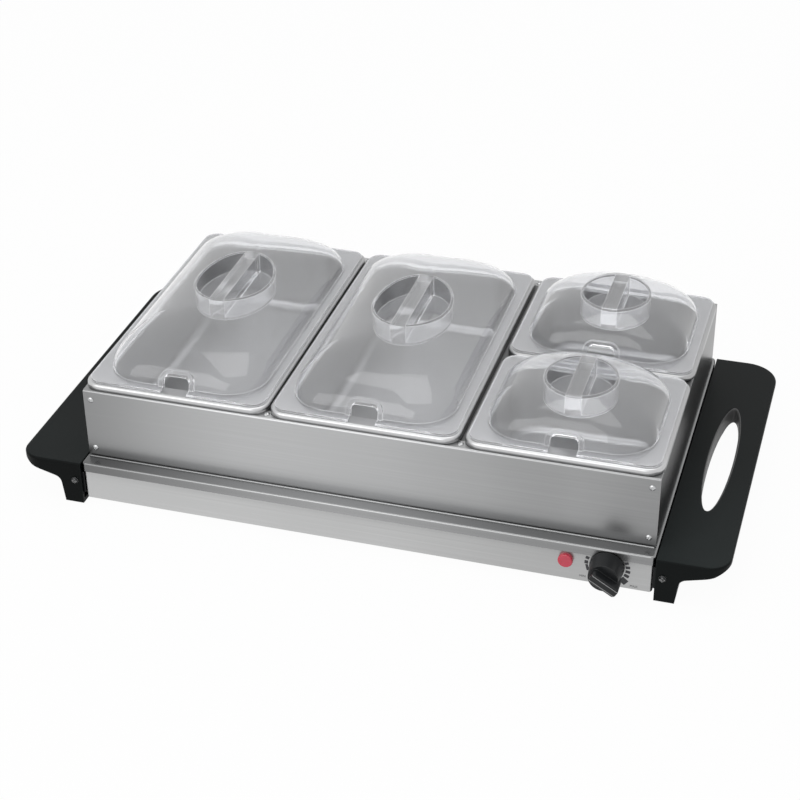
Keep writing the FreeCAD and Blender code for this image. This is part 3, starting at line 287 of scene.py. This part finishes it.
steels = {
    "panelSteel": {
        "colour": (0.50, 0.504, 0.508), "stretch": (14, 5200, 5200), "roughness": (0.27, 0.33),
        "bump": 0.04, "patch": 5, "uneven": 0.05, "edge": 0.0006,
        # painted reflection and shade: lightest left of the middle, darker towards both ends and towards
        # the foot
        "X": [(-0.264, 0.54), (-0.20, 0.78), (-0.12, 1.0), (0.0, 0.98),
              (0.11, 0.76), (0.17, 0.64), (0.20, 0.72), (0.264, 0.54)],
        "Z": [(0.045, 0.72), (0.049, 0.82), (0.058, 0.97), (0.070, 1.0), (0.115, 1.0)]},
    # painted shade: the side sheets are a darker copy of the panel steel, darker still upwards from the
    # foot
    "paintedShadeSideSteel": {
        "colour": (0.26, 0.263, 0.266), "stretch": (5200, 14, 5200), "roughness": (0.26, 0.33),
        "bump": 0.04, "patch": 5, "uneven": 0.05, "edge": 0.0006,
        "Z": [(0.045, 0.9), (0.060, 0.75), (0.080, 0.5), (0.115, 0.42)]},
    # painted light: a lighter copy of the panel steel, with painted shade towards the right end and the
    # top
    "skirtSteel": {
        "colour": (0.56, 0.563, 0.563), "stretch": (14, 14, 5200), "roughness": (0.28, 0.34),
        "bump": 0.06, "patch": 5, "uneven": 0.07, "edge": 0.0006,
        "X": [(-0.264, 0.98), (-0.10, 1.0), (0.05, 0.92), (0.15, 0.78), (0.264, 0.82)],
        "Z": [(0.006, 1.0), (0.028, 1.0), (0.040, 0.8)]},
    # painted reflection: a darker copy of the panel steel whose faces that look up are darkened further,
    # lightest a little left of the middle
    "trayTopSteel": {
        "colour": (0.37, 0.373, 0.376), "stretch": (9, 2600, 2600), "roughness": (0.18, 0.28),
        "bump": 0.1, "patch": 6, "uneven": 0.05, "edge": 0.0006, "level": 0.82,
        "X": [(-0.266, 0.45), (-0.20, 0.60), (-0.06, 1.0), (0.02, 1.0), (0.14, 0.72), (0.266, 0.70)]},
    # painted shade: the pans darken towards the rear
    "panSteel": {
        "colour": (0.60, 0.603, 0.608), "stretch": (2600, 2600, 2600), "roughness": (0.29, 0.33),
        "bump": 0.01, "patch": 9, "uneven": 0.03, "edge": 0.0004,
        "Y": [(-0.165, 1.0), (-0.145, 0.97), (-0.11, 0.76), (0.0, 0.70), (0.16, 0.66)]},
    "zincSteel": {
        "colour": (0.58, 0.60, 0.62), "stretch": (300, 300, 300), "roughness": (0.32, 0.48),
        "bump": 0.05, "patch": 40, "uneven": 0.12, "edge": 0.0004},
    # painted shade: the end brackets are zinc-coated steel made dark because they stand in shade
    "paintedShadeBracketSteel": {
        "colour": (0.025, 0.026, 0.027), "stretch": (300, 300, 300), "roughness": (0.35, 0.5),
        "bump": 0.05, "patch": 40, "uneven": 0.2, "edge": 0.0004, "rubbedAndHighlit": 0.1},
    "screwSteel": {
        "colour": (0.50, 0.505, 0.51), "stretch": (900, 900, 900), "roughness": (0.16, 0.28),
        "bump": 0.03, "patch": 80, "uneven": 0.05, "edge": 0.0002},
    # painted highlight: a pale ring round the edges of the screw heads
    "blackScrew": {
        "colour": (0.03, 0.031, 0.032), "stretch": (900, 900, 900), "roughness": (0.3, 0.4),
        "bump": 0.03, "patch": 80, "uneven": 0.1, "edge": 0.0005, "rubbedAndHighlit": 0.9},
    "elementSteel": {
        "colour": (0.20, 0.19, 0.18), "stretch": (250, 250, 250), "roughness": (0.45, 0.65),
        "bump": 0.12, "patch": 60, "uneven": 0.25, "edge": 0.0004},
}


def steelFinish(name, look):
    material, tree, skin = newMaterial(name)
    grain = useGroup(tree, grainGroup, Stretch=look["stretch"])
    patches = useGroup(tree, patchGroup, Scale=look["patch"])
    edge = useGroup(tree, edgeGroup, Radius=look["edge"], Strength=steelWearAndHighlight["strength"])
    streaks = addMath(tree, "MULTIPLY", grain["Broad"], patches["Soft"])
    share = spread(tree, streaks, steelStreaks["low"], steelStreaks["high"])
    dark, light = [tinted(look["colour"], 1 + sign * look["uneven"]) for sign in (-1, 1)]
    colour = blendColours(tree, share, dark, light)
    for axis in ("X", "Y", "Z"):
        if axis in look:
            colour = paintedLightAlong(tree, colour, axis, look[axis])
    if "level" in look:  # painted shade: faces that look up are darkened to this share
        upward = useGroup(tree, upwardGroup)["Up"]
        colour = blendColours(tree, upward, colour, grey(look["level"]), "MULTIPLY")
    # edges are lighter: rubbed wear, and on the black screws a painted highlight ring
    wornAndLit = addMath(tree, "MULTIPLY", edge["Edge"], look.get("rubbedAndHighlit", steelWearAndHighlight["rubbedAndHighlit"]))
    tree.links.new(blendColours(tree, wornAndLit, colour, steelWearAndHighlight["bareAndHighlight"]), skin.inputs["Base Color"])
    skin.inputs["Metallic"].default_value = 1
    tree.links.new(spread(tree, grain["Fine"], *look["roughness"]), skin.inputs["Roughness"])
    edges = roundedEdges(tree, look["edge"])
    addRelief(tree, skin, grain["Fine"], look["bump"], steelStreaks["depth"], edges)
    return material


# Handles, knob, inner blocks, feet, pad, wires and ink

plasticToneWearAndHighlight = {"strength": 4, "dark": 0.82, "light": 1.15, "gain": 2, "lift": 0.05}
plasticShine = {"level": 0.5, "depth": 0.0003}

plastics = {
    "handlePlastic": {
        "colour": (0.0175, 0.0215, 0.0215), "roughness": (0.36, 0.46), "patch": 28, "edge": 0.0012,
        # painted shade: darker towards the rear, on the left handle, and on faces that don't look up
        "Y": [(-0.17, 1.0), (-0.10, 1.0), (0.0, 0.48), (0.18, 0.42)], "upright": 0.32,
        "X": [(-0.33, 0.62), (-0.26, 0.62), (0.26, 1.0), (0.33, 1.0)],
        "wearAndHighlight": 0.25, "bump": 0.2, "shine": 0.06,
        "paintedHoleReflection": 0.13, "oval": {"middle": (0.2975, 0.0065), "reach": (0.0128, 0.0885)}},
    "knobPlastic": {
        "colour": (0.010, 0.011, 0.012), "roughness": (0.28, 0.36), "patch": 60, "edge": 0.0009,
        # painted highlight: two pale lines along the grip's top edges, and paler edges
        "wearAndHighlight": 0.3, "bump": 0.08, "shine": 0.3, "paintedGripHighlight": 0.32,
        "gripHighlightLines": {"axis": (0.225, 0.0275), "turn": -31.5, "out": 0.0028, "halfWidth": 0.0003,
                    "face": -0.1895}},
    "palePlastic": {
        "colour": (0.72, 0.69, 0.60), "roughness": (0.42, 0.52), "patch": 60, "edge": 0.0005,
        "wearAndHighlight": 0.1, "bump": 0.1},
    "footRubber": {
        "colour": (0.02, 0.02, 0.02), "roughness": (0.7, 0.85), "patch": 90, "edge": 0.0005,
        "wearAndHighlight": 0.1, "bump": 0.3},
    "padFibre": {
        "colour": (0.70, 0.66, 0.55), "roughness": (0.85, 0.95), "patch": 35, "edge": 0.001,
        "wearAndHighlight": 0.0, "bump": 0.9},
    "liveSleeve": {
        "colour": (0.16, 0.05, 0.02), "roughness": (0.4, 0.5), "patch": 90, "edge": 0.0002,
        "wearAndHighlight": 0.0, "bump": 0.1},
    "neutralSleeve": {
        "colour": (0.03, 0.09, 0.35), "roughness": (0.4, 0.5), "patch": 90, "edge": 0.0002,
        "wearAndHighlight": 0.0, "bump": 0.1},
    "earthSleeve": {
        "colour": (0.16, 0.32, 0.03), "roughness": (0.4, 0.5), "patch": 90, "edge": 0.0002,
        "wearAndHighlight": 0.0, "bump": 0.1},
    "dialInk": {
        "colour": (0.03, 0.03, 0.035), "roughness": (0.5, 0.6), "patch": 200, "edge": 0.0001,
        "wearAndHighlight": 0.0, "bump": 0.05},
}


def insideOval(tree, middle, reach):
    # 1 within an oval as seen from above, at either end of the tray: the hand holes, whose walls get a
    # painted reflection
    axes = axesOf(tree, objectPoint(tree))
    places = {}
    for axis, value, centre, half in zip(
            "XY", (addMath(tree, "ABSOLUTE", axes["X"]), axes["Y"]), middle, reach):
        places[axis] = addNode(tree, "ShaderNodeMapRange", {
            "Value": value, "From Min": centre - half, "From Max": centre + half,
            "To Min": -1, "To Max": 1}, clamp=False).outputs[0]
    point = addNode(tree, "ShaderNodeCombineXYZ", places).outputs[0]
    away = addNode(tree, "ShaderNodeVectorMath", {0: point}, operation="LENGTH").outputs["Value"]
    return addMath(tree, "LESS_THAN", away, 1)


def gripHighlightMask(tree, axis, turn, out, halfWidth, face):
    # painted highlight: 1 on two thin lines along the face of the knob's grip, along its top edges
    turned = addNode(tree, "ShaderNodeVectorRotate", {
        "Vector": objectPoint(tree), "Center": (axis[0], 0, axis[1]), "Angle": math.radians(turn)},
        rotation_type="Y_AXIS").outputs[0]
    axes = axesOf(tree, turned)
    away = addMath(tree, "ABSOLUTE", addMath(tree, "SUBTRACT", axes["Z"], axis[1]))
    onHighlightLine = addMath(tree, "COMPARE", away, out, halfWidth)
    front = addMath(tree, "LESS_THAN", axes["Y"], face)
    return addMath(tree, "MULTIPLY", onHighlightLine, front)


def plasticFinish(name, look):
    material, tree, skin = newMaterial(name)
    patches = useGroup(tree, patchGroup, Scale=look["patch"])
    edge = useGroup(tree, edgeGroup, Radius=look["edge"], Strength=plasticToneWearAndHighlight["strength"])
    dark, light = [tinted(look["colour"], plasticToneWearAndHighlight[side]) for side in ("dark", "light")]
    colour = blendColours(tree, patches["Soft"], dark, light)
    for axis in ("X", "Y"):
        if axis in look:
            colour = paintedLightAlong(tree, colour, axis, look[axis])
    if "upright" in look:  # painted shade: faces that don't look up are darkened to this share
        upright = addMath(tree, "SUBTRACT", 1, useGroup(tree, upwardGroup)["Up"])
        colour = blendColours(tree, upright, colour, grey(look["upright"]), "MULTIPLY")
    if "paintedHoleReflection" in look:  # painted reflection: how light the wall of the hand hole is
        colour = blendColours(tree, insideOval(tree, **look["oval"]), colour, grey(look["paintedHoleReflection"]))
    # painted highlight lines on the knob's grip
    if "paintedGripHighlight" in look:
        colour = blendColours(tree, gripHighlightMask(tree, **look["gripHighlightLines"]), colour, grey(look["paintedGripHighlight"]))
    # edges are lighter: rubbed wear, and on the handles and knob a painted highlight
    wornAndLit = addMath(tree, "MULTIPLY", edge["Edge"], look["wearAndHighlight"])
    pale = tinted(look["colour"], plasticToneWearAndHighlight["gain"], plasticToneWearAndHighlight["lift"])
    tree.links.new(blendColours(tree, wornAndLit, colour, pale), skin.inputs["Base Color"])
    skin.inputs["Specular IOR Level"].default_value = look.get("shine", plasticShine["level"])
    tree.links.new(spread(tree, patches["Soft"], *look["roughness"]), skin.inputs["Roughness"])
    edges = roundedEdges(tree, look["edge"])
    addRelief(tree, skin, patches["Specks"], look["bump"], plasticShine["depth"], edges)
    return material


# Lids: clear plastic with a painted glow that is stronger at its edges, and which lets lamps through to
# what it covers

lidLook = {
    "colour": (0.88, 0.885, 0.90, 1), "clear": 0.92, "ior": 1.49, "roughness": (0.02, 0.05), "patch": 12,
    "edge": 0.0007, "edgeReach": 0.0014, "edgeStrength": 6, "shade": (0.9, 0.905, 0.92, 1),
    "paintedBodyGlow": grey(0.05), "pale": (0.93, 0.93, 0.96, 1), "paintedEdgeGlow": 0.25,
}


def lidFinish(look):
    material, tree, skin = newMaterial("clearPlastic")
    patches = useGroup(tree, patchGroup, Scale=look["patch"])
    skin.inputs["Base Color"].default_value = look["colour"]
    skin.inputs["Transmission Weight"].default_value = look["clear"]
    skin.inputs["IOR"].default_value = look["ior"]
    tree.links.new(spread(tree, patches["Soft"], *look["roughness"]), skin.inputs["Roughness"])
    tree.links.new(roundedEdges(tree, look["edge"]), skin.inputs["Normal"])
    edge = useGroup(tree, edgeGroup, Radius=look["edgeReach"], Strength=look["edgeStrength"])
    # painted glow: a faint glow all over and a paler one at the edges, fed to Emission
    paintedGlow = blendColours(tree, edge["Edge"], look["paintedBodyGlow"], look["pale"])
    tree.links.new(paintedGlow, skin.inputs["Emission Color"])
    skin.inputs["Emission Strength"].default_value = look["paintedEdgeGlow"]
    clear = addNode(tree, "ShaderNodeBsdfTransparent", {"Color": look["shade"]})
    path = addNode(tree, "ShaderNodeLightPath")
    blendShaders(tree, path.outputs["Is Shadow Ray"], skin, clear)
    return material


# Pilot light's lens: red plastic, a little milky

lensLook = {
    "patch": 150, "dark": (0.44, 0.013, 0.036, 1), "light": (0.60, 0.032, 0.075, 1),
    "plain": {"Roughness": 0.18, "Subsurface Weight": 0.2, "Subsurface Scale": 0.002, "Coat Weight": 0.5},
    "bump": 0.05, "bumpDepth": 0.0001,
}


def lensFinish(look):
    material, tree, skin = newMaterial("redLens")
    patches = useGroup(tree, patchGroup, Scale=look["patch"])
    colour = blendColours(tree, patches["Soft"], look["dark"], look["light"])
    tree.links.new(colour, skin.inputs["Base Color"])
    for name, value in look["plain"].items():
        skin.inputs[name].default_value = value
    addRelief(tree, skin, patches["Specks"], look["bump"], look["bumpDepth"])
    return material


finishes = {name: steelFinish(name, look) for name, look in steels.items()}
finishes.update({name: plasticFinish(name, look) for name, look in plastics.items()})
finishes["clearPlastic"] = lidFinish(lidLook)
finishes["redLens"] = lensFinish(lensLook)
print("finishes:", len(finishes))


# Each carried-over node gets its finish

wears = {
    "panelSteel": ["front_panel", "back_panel", "divider_cross"],
    "paintedShadeSideSteel": ["left_panel", "right_panel", "divider_left", "divider_right"],
    "skirtSteel": ["base_pan"],
    "trayTopSteel": ["tray_top"],
    "panSteel": ["pan_left", "pan_middle", "pan_rear", "pan_front"],
    "paintedShadeBracketSteel": ["end_bracket_right", "end_bracket_left"],
    "zincSteel": ["tray_posts", "shield_spacers", "element_clamps", "fuse_clip",
                  "corner_brackets", "heat_shield", "gland_nut", "thermostat_nut"],
    "blackScrew": ["handle_screws"],
    "screwSteel": ["bracket_screws", "bottom_screws", "frame_screws", "divider_screws", "earth_screw",
                   "thermostat_shaft"],
    "elementSteel": ["heating_element", "thermal_fuse"],
    "handlePlastic": ["handle_right", "handle_left", "cable_gland", "pilot_light_holder"],
    "knobPlastic": ["knob"],
    "palePlastic": ["thermostat_body", "terminal_block"],
    "padFibre": ["insulation_pad"],
    "footRubber": ["rubber_feet"],
    "redLens": ["pilot_light_lens"],
    "clearPlastic": ["lid_left", "lid_middle", "lid_rear", "lid_front"],
    "liveSleeve": ["live_wire", "element_wire", "lamp_wires"],
    "neutralSleeve": ["neutral_wires"],
    "earthSleeve": ["earth_wire"],
}
for finish, names in wears.items():
    for name in names:
        nodes[name].data.materials.clear()
        nodes[name].data.materials.append(finishes[finish])
print("nodes dressed:", sum(len(names) for names in wears.values()))


# Food pans: a drawn shell with a rolled rim, a rounded mouth and sloping walls

panShape = {
    "gauge": 0.0008, "cornerSteps": 10,
    "rimRound": 0.0028, "rimSteps": 6, "rimCorner": 0.016,
    "rimFoot": 0.0057, "rimWidth": 0.0155, "rimFall": 0.00015,
    "mouthCorner": 0.030, "mouthRound": 0.0022, "mouthSteps": 5,
    "draft": 0.004, "wellRound": 0.009, "wellSteps": 7,
}


def panSections(length, width, top, floor):
    # rings from the rim's foot over the rim and down into the well: inset, corner, height
    shape = panShape
    rows = [(0, shape["rimCorner"], top - shape["rimFoot"])]
    for come, left in quarterTurn(shape["rimSteps"]):
        inset = shape["rimRound"] * come
        rows.append((inset, shape["rimCorner"] - inset, top - shape["rimRound"] * left))
    for come, left in quarterTurn(shape["mouthSteps"]):
        inset = shape["rimWidth"] - shape["mouthRound"] * left
        corner = shape["mouthCorner"] + shape["rimWidth"] - inset
        rows.append((inset, corner, top - shape["rimFall"] - shape["mouthRound"] * come))
    for come, left in quarterTurn(shape["wellSteps"]):
        inset = shape["rimWidth"] + shape["draft"] + shape["wellRound"] * come
        corner = shape["mouthCorner"] - shape["draft"] - shape["wellRound"] * come
        rows.append((inset, corner, floor + shape["wellRound"] * left))
    return [(length - 2 * inset, width - 2 * inset, corner, height) for inset, corner, height in rows]


def makePan(spot):
    name = f"pan_{spot}"
    low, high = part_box(name)
    bm = bmesh.new()
    sections = panSections(high.x - low.x, high.y - low.y, high.z, low.z + panShape["gauge"])
    rings = loftRings(bm, sections, (low + high) / 2, panShape["cornerSteps"])
    bmesh.ops.contextual_create(bm, geom=rings[-1])
    bmesh.ops.recalc_face_normals(bm, faces=bm.faces)
    if max(bm.faces, key=lambda face: face.calc_area()).normal.z < 0:
        bmesh.ops.reverse_faces(bm, faces=bm.faces)
    piece = newPiece(f"foodPan_{spot}", bm, name, finishes["panSteel"], [name])
    wall = piece.modifiers.new("gauge", "SOLIDIFY")
    wall.thickness = panShape["gauge"]
    wall.offset = -1


for spot in ("left", "middle", "rear", "front"):
    makePan(spot)
print("pans made")


# A bead pressed into the tray's ledge along the foot of the frame's front panel

ledgeBead = {"reach": 0.2625, "radius": 0.0010, "gap": 0.0004, "sides": 20}


def makeLedgeBead():
    plan = ledgeBead
    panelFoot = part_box("front_panel")[0]
    spot = (0, panelFoot.y - plan["gap"] - plan["radius"], panelFoot.z)
    lying = Matrix.Translation(spot) @ Matrix.Rotation(math.radians(90), 4, "Y")
    bm = bmesh.new()
    bmesh.ops.create_cone(bm, cap_ends=True, segments=plan["sides"], radius1=plan["radius"],
                          radius2=plan["radius"], depth=2 * plan["reach"], matrix=lying)
    newPiece("ledgeBead", bm, "tray", finishes["trayTopSteel"])


makeLedgeBead()
print("ledge bead made")


# Dial print on the skirt: marks round the knob that grow towards the hot end, and two words

dialPlan = {
    "middle": (0.2248, 0.027), "proud": 0.00006, "inner": 0.0164, "corner": 0.0003, "cornerSteps": 3,
    # angle, reach and breadth of each mark
    "coolMarks": [(148, 0.0030, 0.0026), (162, 0.0033, 0.0030), (177, 0.0033, 0.0034),
                  (195, 0.0024, 0.0064)],
    "hotMarks": [(34, 0.0030, 0.0021), (20, 0.0034, 0.0024), (6, 0.0039, 0.0027), (-8, 0.0043, 0.0029),
                 (-22, 0.0047, 0.0031), (-40, 0.0066, 0.0060)],
    "words": [("MIN", 0.2040, 0.0122), ("MAX", 0.2490, 0.0100)], "wordHeight": 0.0032,
}
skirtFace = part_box("base_pan")[0].y


def makeDialMarks():
    plan = dialPlan
    bm = bmesh.new()
    for angle, reach, breadth in plan["coolMarks"] + plan["hotMarks"]:
        verts = bmesh.ops.create_cube(bm, size=1)["verts"]
        bmesh.ops.scale(bm, vec=(reach, plan["proud"] * 2, breadth), verts=verts)
        bmesh.ops.translate(bm, vec=(plan["inner"] + reach / 2, 0, 0), verts=verts)
        turn = Matrix.Rotation(math.radians(-angle), 3, "Y")
        bmesh.ops.rotate(bm, cent=(0, 0, 0), matrix=turn, verts=verts)
    uprights = [edge for edge in bm.edges
                if abs((edge.verts[0].co - edge.verts[1].co).y) > plan["proud"]]
    bmesh.ops.bevel(bm, geom=uprights, offset=plan["corner"], segments=plan["cornerSteps"], affect="EDGES",
                    **bevelWay)
    x, z = plan["middle"]
    bmesh.ops.translate(bm, vec=(x, skirtFace, z), verts=bm.verts)
    newPiece("dialMarks", bm, "tray", finishes["dialInk"])


def makeDialWords():
    plan = dialPlan
    upright = Matrix.Rotation(math.radians(90), 4, "X")
    bm = bmesh.new()
    for word, x, z in plan["words"]:
        text = bpy.data.curves.new(word, "FONT")
        text.body = word
        text.size = plan["wordHeight"]
        text.extrude = plan["proud"]
        text.align_x, text.align_y = "CENTER", "CENTER"
        holder = bpy.data.objects.new(word, text)
        mesh = bpy.data.meshes.new_from_object(holder)
        mesh.transform(Matrix.Translation((x, skirtFace, z)) @ upright)
        bm.from_mesh(mesh)
        bpy.data.objects.remove(holder)
    newPiece("dialWords", bm, "tray", finishes["dialInk"])


makeDialMarks()
makeDialWords()
print("dial printed")


# Stage, lamps and camera

stageLook = {
    "floor": (0.86, 0.86, 0.86, 1), "floorSize": 8, "floorCells": 4, "roughness": 0.9, "shine": 0,
    "whiteShare": 0.96, "ambient": 0.6,
}


def seenDirectly(tree):
    # 1 for what the camera sees, straight, mirrored or through a clear lid
    rays = addNode(tree, "ShaderNodeLightPath").outputs
    some = addMath(tree, "ADD", rays["Is Camera Ray"], rays["Is Glossy Ray"])
    return addMath(tree, "ADD", some, rays["Is Transmission Ray"], clamp=True)


def makeFloor():
    look = stageLook
    bm = bmesh.new()
    bmesh.ops.create_grid(bm, x_segments=look["floorCells"], y_segments=look["floorCells"],
                          size=look["floorSize"] / 2)
    mesh = bpy.data.meshes.new("floor")
    bm.to_mesh(mesh)
    bm.free()
    floor = bpy.data.objects.new("floor", mesh)
    addToScene(floor)
    material, tree, skin = newMaterial("floorPaper")
    skin.inputs["Base Color"].default_value = look["floor"]
    skin.inputs["Roughness"].default_value = look["roughness"]
    skin.inputs["Specular IOR Level"].default_value = look["shine"]
    glow = addNode(tree, "ShaderNodeEmission", {"Color": white, "Strength": 1})
    blendShaders(tree, addMath(tree, "MULTIPLY", seenDirectly(tree), look["whiteShare"]), skin, glow)
    mesh.materials.append(material)


def makeWorld():
    world = bpy.data.worlds.new("studio")
    bpy.context.scene.world = world
    world.use_nodes = True
    tree = world.node_tree
    backdrop = tree.nodes["Background"]
    backdrop.inputs["Color"].default_value = white
    tree.links.new(spread(tree, seenDirectly(tree), stageLook["ambient"], 1), backdrop.inputs["Strength"])


lampPlan = {
    "keyLamp": {"place": (-0.80, -1.85, 1.30), "size": (2.6, 1.8), "power": 20},
    "topLamp": {"place": (0.15, 0.10, 2.30), "size": (1.6, 1.6), "power": 10},
}


def facing(back):
    # the turn of a lamp or camera that has the given direction behind it
    return back.to_track_quat("Z", "Y")


def makeLamp(name, plan):
    data = bpy.data.lights.new(name, "AREA")
    data.shape = "RECTANGLE"
    data.size, data.size_y = plan["size"]
    data.energy = plan["power"]
    lamp = bpy.data.objects.new(name, data)
    lamp.location = plan["place"]
    lamp.rotation_mode = "QUATERNION"
    lamp.rotation_quaternion = facing(Vector(plan["place"]))
    addToScene(lamp)


cameraView = {
    "place": (0.43302, -1.45991, 1.01037), "aim": (-0.011654, 0.0095, 0.052204), "roll": -0.01,
    "lens": 85.02, "sensor": 36, "near": 0.05, "far": 50,
}


def makeCamera():
    view = cameraView
    data = bpy.data.cameras.new("camera")
    data.lens = view["lens"]
    data.sensor_width = view["sensor"]
    data.clip_start, data.clip_end = view["near"], view["far"]
    camera = bpy.data.objects.new("camera", data)
    camera.location = view["place"]
    camera.rotation_mode = "QUATERNION"
    roll = Quaternion((0, 0, 1), view["roll"])
    camera.rotation_quaternion = facing(Vector(view["place"]) - Vector(view["aim"])) @ roll
    addToScene(camera)
    bpy.context.scene.camera = camera


makeFloor()
makeWorld()
for name, plan in lampPlan.items():
    makeLamp(name, plan)
makeCamera()
bpy.context.scene.view_settings.view_transform = "Standard"
print("stage set")
